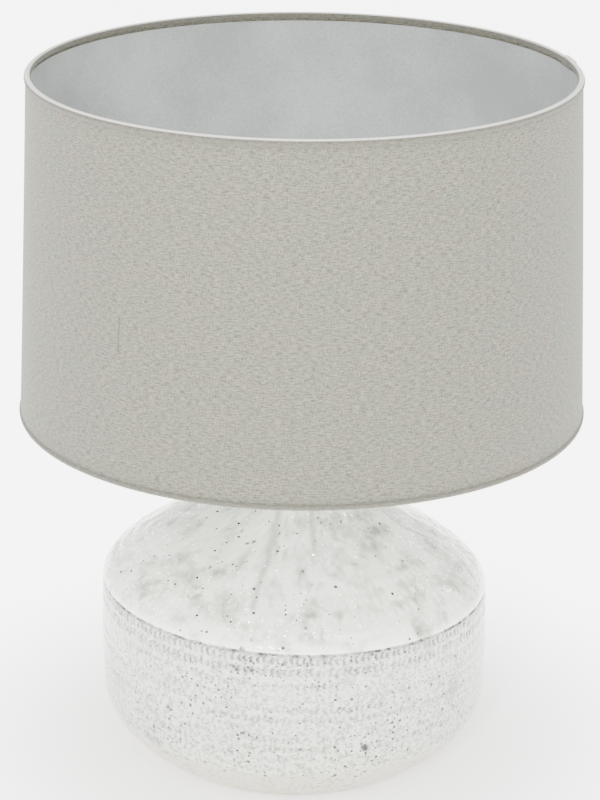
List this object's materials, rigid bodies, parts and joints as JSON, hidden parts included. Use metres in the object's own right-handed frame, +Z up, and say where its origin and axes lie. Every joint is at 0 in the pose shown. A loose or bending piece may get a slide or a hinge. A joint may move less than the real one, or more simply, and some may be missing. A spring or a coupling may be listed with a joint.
{
  "type": "table lamp with shade",
  "caption": "Table lamp with a squat hand-thrown ceramic base and a wide tapered linen drum shade on a ring-and-spoke wire frame.",
  "frame": {"origin": "on the lamp's axis, on the surface it stands on", "axes": "+Z up along the axis of the neck, lampholder and shade; -Y towards the front, the cable outlet at the rear on +Y"},
  "size_m": [0.3998, 0.3998, 0.505],
  "materials": {
    "glaze": "glossy white glaze with small iron specks",
    "felt": "grey pressed felt",
    "black_rubber": "matt",
    "nickel": "brushed nickel plate",
    "steel": "zinc plated",
    "brass": "plain",
    "white_plastic": "satin moulded",
    "porcelain": "unglazed technical porcelain",
    "linen": "natural linen, open slubbed plain weave",
    "lining": "smooth white laminating film, satin",
    "white_wire": "white enamelled wire",
    "white_aluminium": "white coated board",
    "black_insulator": "black glass",
    "opal_diffuser": "opal, satin"
  },
  "bodies": {
    "lamp_base": {"foot_felt": "felt", "ceramic_body": "glaze", "cable_grommet": "black_rubber", "neck_seal": "black_rubber", "neck_cap": "nickel", "threaded_nipple": "steel", "clamp_washer": "steel", "lock_washer": "steel", "inner_nut": "steel", "neck_nut": "steel", "holder_base": "white_plastic", "holder_shell": "white_plastic", "holder_insert": "porcelain", "screw_shell": "brass", "contact_spring": "brass", "live_terminal": "brass", "neutral_terminal": "brass"},
    "switch": {"switch_bar": "white_plastic"},
    "shade_seat": {"lower_shade_ring": "white_plastic"},
    "shade_clamp": {"upper_shade_ring": "white_plastic"},
    "shade": {"shade_cover": "linen", "shade_liner": "lining", "top_wire_ring": "white_wire", "bottom_wire_ring": "white_wire", "fitter_ring": "white_wire", "spoke_1": "white_wire", "spoke_2": "white_wire", "spoke_3": "white_wire"},
    "bulb": {"bulb_contact": "brass", "bulb_insulator": "black_insulator", "bulb_cap": "nickel", "bulb_housing": "white_plastic", "bulb_led_board": "white_aluminium", "bulb_globe": "opal_diffuser"}
  },
  "joints": [
    {"name": "switch_push", "type": "slide", "parent": "lamp_base", "child": "switch", "axis": [1, 0, 0], "range_m": [0, 0.006]},
    {"name": "shade_lift", "type": "slide", "parent": "lamp_base", "child": "shade_seat", "axis": [0, 0, 1], "range_m": [0, 0.25]},
    {"name": "shade_turn", "type": "hinge", "parent": "shade_seat", "child": "shade", "pos_m": [0, 0, 0.288], "axis": [0, 0, 1], "continuous": true},
    {"name": "shade_clamp_lift", "type": "slide", "parent": "lamp_base", "child": "shade_clamp", "axis": [0, 0, 1], "range_m": [0, 0.29]},
    {"name": "bulb_lift", "type": "slide", "parent": "lamp_base", "child": "bulb", "axis": [0, 0, 1], "range_m": [0, 0.38]}
  ],
  "couplings": [
    {"joint": "shade_clamp_lift", "follows": "shade_lift", "ratio": 1.15},
    {"joint": "bulb_lift", "follows": "shade_lift", "ratio": 1.5}
  ]
}
